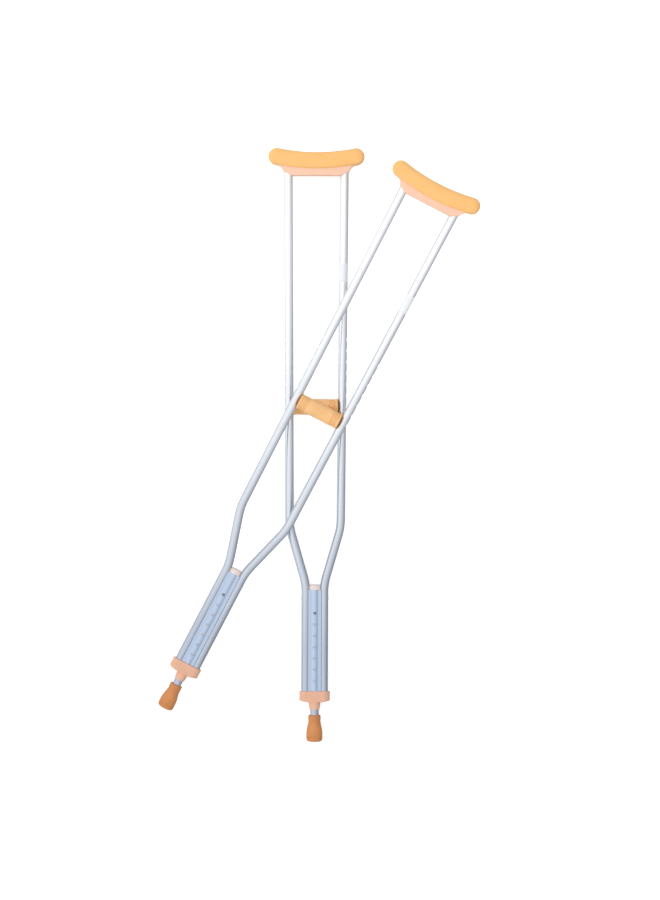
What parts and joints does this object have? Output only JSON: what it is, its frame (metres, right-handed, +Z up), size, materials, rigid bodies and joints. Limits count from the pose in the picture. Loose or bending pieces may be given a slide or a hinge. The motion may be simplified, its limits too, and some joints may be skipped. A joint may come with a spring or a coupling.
{
  "type": "underarm crutches",
  "caption": "Pair of aluminium underarm crutches with cushioned saddles, bowed twin tubes, cross handgrips and telescoping rubber-tipped legs, laid flat one across the other.",
  "frame": {"origin": "centre of the pair's footprint, at floor level, with both crutches lying flat", "axes": "+Y from the rubber tip towards the underarm pad of the straight crutch, +X to its right seen from above, +Z up from the floor"},
  "size_m": [0.7092, 1.32, 0.1],
  "materials": {
    "cushion": "soft matt foam skin",
    "pink_plastic": "moulded, satin",
    "collar_plastic": "moulded, satin",
    "pale_plastic": "moulded, milky",
    "tip_rubber": "moulded, matt",
    "grip_foam": "moulded, matt",
    "tube_aluminium": "satin anodised",
    "channel_aluminium": "satin anodised, cool grey",
    "rivet_aluminium": "plain",
    "steel": "zinc plated",
    "bright_steel": "plated",
    "grey_plastic": "moulded",
    "label_white": "plain film, no print"
  },
  "bodies": {
    "under_frame": {"under_pad": "cushion", "under_support": "pink_plastic", "under_screws": "steel", "under_left_tube": "tube_aluminium", "under_right_tube": "tube_aluminium", "under_rivets": "rivet_aluminium", "under_channel": "channel_aluminium", "under_cap": "pale_plastic", "under_collar": "collar_plastic", "under_label": "label_white"},
    "under_lower_leg": {"under_leg": "tube_aluminium", "under_leg_plug": "grey_plastic", "under_snap_spring": "steel", "under_tip": "tip_rubber", "under_tip_washer": "steel"},
    "under_button": {"under_snap_button": "steel"},
    "under_handgrip": {"under_grip_core": "grey_plastic", "under_grip_sleeve": "grip_foam", "under_grip_washers": "grey_plastic"},
    "under_bolt": {"under_grip_bolt": "bright_steel"},
    "under_nut": {"under_grip_nut": "bright_steel"},
    "over_frame": {"over_pad": "cushion", "over_support": "pink_plastic", "over_screws": "steel", "over_left_tube": "tube_aluminium", "over_right_tube": "tube_aluminium", "over_rivets": "rivet_aluminium", "over_channel": "channel_aluminium", "over_cap": "pale_plastic", "over_collar": "collar_plastic", "over_label": "label_white"},
    "over_lower_leg": {"over_leg": "tube_aluminium", "over_leg_plug": "grey_plastic", "over_snap_spring": "steel", "over_tip": "tip_rubber", "over_tip_washer": "steel"},
    "over_button": {"over_snap_button": "steel"},
    "over_handgrip": {"over_grip_core": "grey_plastic", "over_grip_sleeve": "grip_foam", "over_grip_washers": "grey_plastic"},
    "over_bolt": {"over_grip_bolt": "bright_steel"},
    "over_nut": {"over_grip_nut": "bright_steel"}
  },
  "joints": [
    {"name": "under_leg_slide", "type": "slide", "parent": "under_frame", "child": "under_lower_leg", "axis": [0, -1, 0], "range_m": [0, 0.15]},
    {"name": "under_button_press", "type": "slide", "parent": "under_lower_leg", "child": "under_button", "axis": [0, 0, -1], "range_m": [0, 0.0038], "stiffness_N_per_m": 1500, "springref_m": -0.002, "deforming": ["under_snap_spring"]},
    {"name": "under_grip_height", "type": "slide", "parent": "under_frame", "child": "under_handgrip", "axis": [0, 1, 0], "range_m": [0, 0.15]},
    {"name": "under_bolt_pull", "type": "slide", "parent": "under_handgrip", "child": "under_bolt", "axis": [1, 0, 0], "range_m": [0, 0.15]},
    {"name": "under_nut_off", "type": "slide", "parent": "under_handgrip", "child": "under_nut", "axis": [-1, 0, 0], "range_m": [0, 0.03]},
    {"name": "over_leg_slide", "type": "slide", "parent": "over_frame", "child": "over_lower_leg", "axis": [-0.46, -0.8866, -0.049], "range_m": [0, 0.15]},
    {"name": "over_button_press", "type": "slide", "parent": "over_lower_leg", "child": "over_button", "axis": [0.0225, 0.0435, -0.9988], "range_m": [0, 0.0038], "stiffness_N_per_m": 1500, "springref_m": -0.002, "deforming": ["over_snap_spring"]},
    {"name": "over_grip_height", "type": "slide", "parent": "over_frame", "child": "over_handgrip", "axis": [0.46, 0.8866, 0.049], "range_m": [0, 0.15]},
    {"name": "over_bolt_pull", "type": "slide", "parent": "over_handgrip", "child": "over_bolt", "axis": [0.8877, -0.4605, 0], "range_m": [0, 0.15]},
    {"name": "over_nut_off", "type": "slide", "parent": "over_handgrip", "child": "over_nut", "axis": [-0.8877, 0.4605, 0], "range_m": [0, 0.03]},
    {"name": "over_lift", "type": "slide", "parent": "under_frame", "child": "over_frame", "axis": [0, 0, 1], "range_m": [0, 0.2]}
  ]
}
